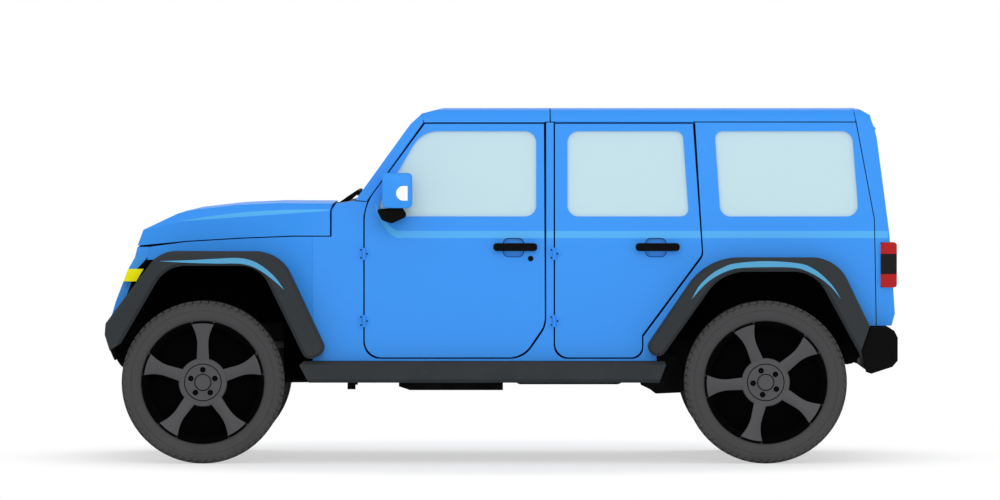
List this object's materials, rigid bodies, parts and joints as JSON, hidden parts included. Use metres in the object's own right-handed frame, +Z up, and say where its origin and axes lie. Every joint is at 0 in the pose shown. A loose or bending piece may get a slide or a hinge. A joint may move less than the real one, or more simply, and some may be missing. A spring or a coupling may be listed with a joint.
{
  "type": "lifted off-road 4x4",
  "caption": "Boxy five-door off-roader on raised solid axles, with wide arch flares, opening doors, lid, tailgate and rear hatch, and steered front wheels.",
  "frame": {"origin": "on the ground under the middle of the vehicle's bounding box", "axes": "-X towards the nose, -Y towards the vehicle's left side, +Z up"},
  "size_m": [4.236, 2.06, 1.9],
  "materials": {
    "body_paint": "gloss",
    "flare_plastic": "satin",
    "black_trim": "satin",
    "window_glass": "clear",
    "tyre": "matt",
    "wheel_alloy": "satin",
    "chassis_steel": "matt",
    "engine_iron": "matt",
    "headlamp_lens": "gloss",
    "tail_lens": "gloss",
    "marker_lens": "gloss",
    "seat_fabric": "woven",
    "dash_plastic": "grained",
    "tank_plastic": "satin",
    "inner_paint": "satin"
  },
  "bodies": {
    "body": {"axles": "chassis_steel", "body_side_left": "body_paint", "body_side_right": "body_paint", "carrier_panel": "inner_paint", "dashboard": "dash_plastic", "engine": "engine_iron", "exhaust": "chassis_steel", "fixed_glass": "window_glass", "floor_tub": "inner_paint", "front_bumper": "black_trim", "front_flares": "flare_plastic", "front_wings": "body_paint", "fuel_tank": "tank_plastic", "gearbox": "chassis_steel", "grille_panel": "body_paint", "grille_slats": "black_trim", "headlamps": "headlamp_lens", "ladder_frame": "chassis_steel", "marker_lamps": "marker_lens", "rear_bumper": "black_trim", "rear_flares": "flare_plastic", "roof_front": "body_paint", "roof_rear": "body_paint", "seats": "seat_fabric", "side_rails": "flare_plastic", "springs": "chassis_steel", "tail_frame": "body_paint", "tail_lamps": "tail_lens", "wheel_liners": "black_trim", "windscreen_frame": "body_paint", "wipers": "black_trim"},
    "hood": {"hood": "body_paint"},
    "tailgate": {"tailgate": "body_paint"},
    "hatch": {"hatch_glass": "window_glass"},
    "steering_wheel": {"steering_wheel": "dash_plastic"},
    "knuckle_left": {"knuckle_left": "chassis_steel"},
    "knuckle_right": {"knuckle_right": "chassis_steel"},
    "door_front_left": {"door_front_left": "body_paint", "glass_front_left": "window_glass", "handle_front_left": "black_trim", "mirror_left": "body_paint"},
    "door_rear_left": {"door_rear_left": "body_paint", "glass_rear_left": "window_glass", "handle_rear_left": "black_trim"},
    "wheel_front_left": {"tyre_front_left": "tyre", "wheel_front_left": "wheel_alloy"},
    "wheel_rear_left": {"tyre_rear_left": "tyre", "wheel_rear_left": "wheel_alloy"},
    "door_front_right": {"door_front_right": "body_paint", "glass_front_right": "window_glass", "handle_front_right": "black_trim", "mirror_right": "body_paint"},
    "door_rear_right": {"door_rear_right": "body_paint", "glass_rear_right": "window_glass", "handle_rear_right": "black_trim"},
    "wheel_front_right": {"tyre_front_right": "tyre", "wheel_front_right": "wheel_alloy"},
    "wheel_rear_right": {"tyre_rear_right": "tyre", "wheel_rear_right": "wheel_alloy"}
  },
  "joints": [
    {"name": "door_front_left_swing", "type": "hinge", "parent": "body", "child": "door_front_left", "pos_m": [-0.734, -0.81, 0.76], "axis": [0, 0, -1], "range_deg": [0, 65]},
    {"name": "door_rear_left_swing", "type": "hinge", "parent": "body", "child": "door_rear_left", "pos_m": [0.285, -0.81, 0.76], "axis": [0, 0, -1], "range_deg": [0, 65]},
    {"name": "door_front_right_swing", "type": "hinge", "parent": "body", "child": "door_front_right", "pos_m": [-0.734, 0.81, 0.76], "axis": [0, 0, 1], "range_deg": [0, 65]},
    {"name": "door_rear_right_swing", "type": "hinge", "parent": "body", "child": "door_rear_right", "pos_m": [0.285, 0.81, 0.76], "axis": [0, 0, 1], "range_deg": [0, 65]},
    {"name": "hood_lift", "type": "hinge", "parent": "body", "child": "hood", "pos_m": [-0.894, 0, 1.375], "axis": [0, 1, 0], "range_deg": [0, 50]},
    {"name": "tailgate_swing", "type": "hinge", "parent": "body", "child": "tailgate", "pos_m": [2.09, 0.614, 0.806], "axis": [0, 0, 1], "range_deg": [0, 90]},
    {"name": "hatch_lift", "type": "hinge", "parent": "body", "child": "hatch", "pos_m": [2.016, 0, 1.789], "axis": [0, -1, 0], "range_deg": [0, 75]},
    {"name": "steer_left", "type": "hinge", "parent": "body", "child": "knuckle_left", "pos_m": [-1.594, -0.715, 0.434], "axis": [0, 0, 1], "range_deg": [-28, 28]},
    {"name": "wheel_front_left_spin", "type": "hinge", "parent": "knuckle_left", "child": "wheel_front_left", "pos_m": [-1.594, -0.79, 0.434], "axis": [0, 1, 0], "continuous": true},
    {"name": "wheel_rear_left_spin", "type": "hinge", "parent": "body", "child": "wheel_rear_left", "pos_m": [1.414, -0.79, 0.434], "axis": [0, 1, 0], "continuous": true},
    {"name": "steer_right", "type": "hinge", "parent": "body", "child": "knuckle_right", "pos_m": [-1.594, 0.715, 0.434], "axis": [0, 0, 1], "range_deg": [-28, 28]},
    {"name": "wheel_front_right_spin", "type": "hinge", "parent": "knuckle_right", "child": "wheel_front_right", "pos_m": [-1.594, 0.79, 0.434], "axis": [0, 1, 0], "continuous": true},
    {"name": "wheel_rear_right_spin", "type": "hinge", "parent": "body", "child": "wheel_rear_right", "pos_m": [1.414, 0.79, 0.434], "axis": [0, 1, 0], "continuous": true},
    {"name": "steering_wheel_turn", "type": "hinge", "parent": "body", "child": "steering_wheel", "pos_m": [-0.518, -0.37, 1.15], "axis": [0.8829, 0, 0.4695], "range_deg": [-350, 350]}
  ],
  "couplings": [
    {"joint": "steer_right", "follows": "steer_left", "ratio": 1},
    {"joint": "steering_wheel_turn", "follows": "steer_left", "ratio": -12}
  ]
}
